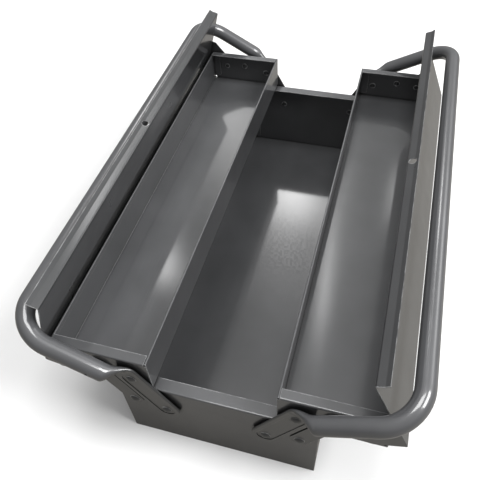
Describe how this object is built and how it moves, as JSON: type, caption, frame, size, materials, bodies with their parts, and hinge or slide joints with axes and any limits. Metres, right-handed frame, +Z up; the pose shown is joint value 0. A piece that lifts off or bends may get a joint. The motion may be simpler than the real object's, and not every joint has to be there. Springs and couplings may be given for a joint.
{
  "type": "cantilever tool box",
  "caption": "Long sheet-steel tool box standing open: a deep base tray, a shallow lidded tray each side that swings up and out on links, and loop handles that carry and open it.",
  "frame": {"origin": "middle of the bottom face of the base tray, on the surface it stands on", "axes": "+Z up, +Y along the box (its length), +X across the box to its right-hand tray"},
  "size_m": [0.3604, 0.5434, 0.2124],
  "materials": {
    "sheet_enamel": "glossy stoved enamel on folded sheet steel, dark grey",
    "tube_enamel": "glossy stoved enamel on steel tube and bar, dark grey, worn bright where hands hold it",
    "rivet_steel": "enamelled over steel rivet heads and washers, worn on the domes"
  },
  "bodies": {
    "base": {"base_body": "sheet_enamel", "base_front_panel": "sheet_enamel", "base_back_panel": "sheet_enamel", "base_handle_rivets": "rivet_steel", "base_strap_rivets": "rivet_steel", "base_spacers": "rivet_steel"},
    "right_handle_arm": {"right_handle": "tube_enamel"},
    "right_straps": {"right_front_strap": "sheet_enamel", "right_back_strap": "sheet_enamel"},
    "right_tray": {"right_tray_body": "sheet_enamel", "right_tray_front_panel": "sheet_enamel", "right_tray_back_panel": "sheet_enamel", "right_tray_handle_rivets": "rivet_steel", "right_tray_strap_rivets": "rivet_steel", "right_tray_lid_rivets": "rivet_steel", "right_tray_spacers": "rivet_steel"},
    "right_lid_leaf": {"right_lid": "sheet_enamel"},
    "left_handle_arm": {"left_handle": "tube_enamel"},
    "left_straps": {"left_front_strap": "sheet_enamel", "left_back_strap": "sheet_enamel"},
    "left_tray": {"left_tray_body": "sheet_enamel", "left_tray_front_panel": "sheet_enamel", "left_tray_back_panel": "sheet_enamel", "left_tray_handle_rivets": "rivet_steel", "left_tray_strap_rivets": "rivet_steel", "left_tray_lid_rivets": "rivet_steel", "left_tray_spacers": "rivet_steel"},
    "left_lid_leaf": {"left_lid": "sheet_enamel"}
  },
  "joints": [
    {"name": "right_handle_swing", "type": "hinge", "parent": "base", "child": "right_handle_arm", "pos_m": [0.04935, 0, 0.07166], "axis": [0, -1, 0], "range_deg": [0, 61.41]},
    {"name": "right_tray_level", "type": "hinge", "parent": "right_handle_arm", "child": "right_tray", "pos_m": [0.07704, 0, 0.1216], "axis": [0, -1, 0], "range_deg": [-61.41, 0]},
    {"name": "right_strap_swing", "type": "hinge", "parent": "base", "child": "right_straps", "pos_m": [0.08135, 0, 0.07916], "axis": [0, -1, 0], "range_deg": [0, 61.41]},
    {"name": "right_lid_turn", "type": "hinge", "parent": "right_tray", "child": "right_lid_leaf", "pos_m": [0.1355, 0, 0.1265], "axis": [0, -1, 0], "range_deg": [0, 66.8]},
    {"name": "left_handle_swing", "type": "hinge", "parent": "base", "child": "left_handle_arm", "pos_m": [-0.04935, 0, 0.07166], "axis": [0, 1, 0], "range_deg": [0, 61.41]},
    {"name": "left_tray_level", "type": "hinge", "parent": "left_handle_arm", "child": "left_tray", "pos_m": [-0.07704, 0, 0.1216], "axis": [0, 1, 0], "range_deg": [-61.41, 0]},
    {"name": "left_strap_swing", "type": "hinge", "parent": "base", "child": "left_straps", "pos_m": [-0.08135, 0, 0.07916], "axis": [0, 1, 0], "range_deg": [0, 61.41]},
    {"name": "left_lid_turn", "type": "hinge", "parent": "left_tray", "child": "left_lid_leaf", "pos_m": [-0.1355, 0, 0.1265], "axis": [0, 1, 0], "range_deg": [0, 75]}
  ],
  "couplings": [
    {"joint": "right_tray_level", "follows": "right_handle_swing", "ratio": -1},
    {"joint": "right_strap_swing", "follows": "right_handle_swing", "ratio": 1},
    {"joint": "right_lid_turn", "follows": "right_handle_swing", "ratio": 1.087},
    {"joint": "left_tray_level", "follows": "left_handle_swing", "ratio": -1},
    {"joint": "left_strap_swing", "follows": "left_handle_swing", "ratio": 1},
    {"joint": "left_lid_turn", "follows": "left_handle_swing", "ratio": 1.221}
  ]
}
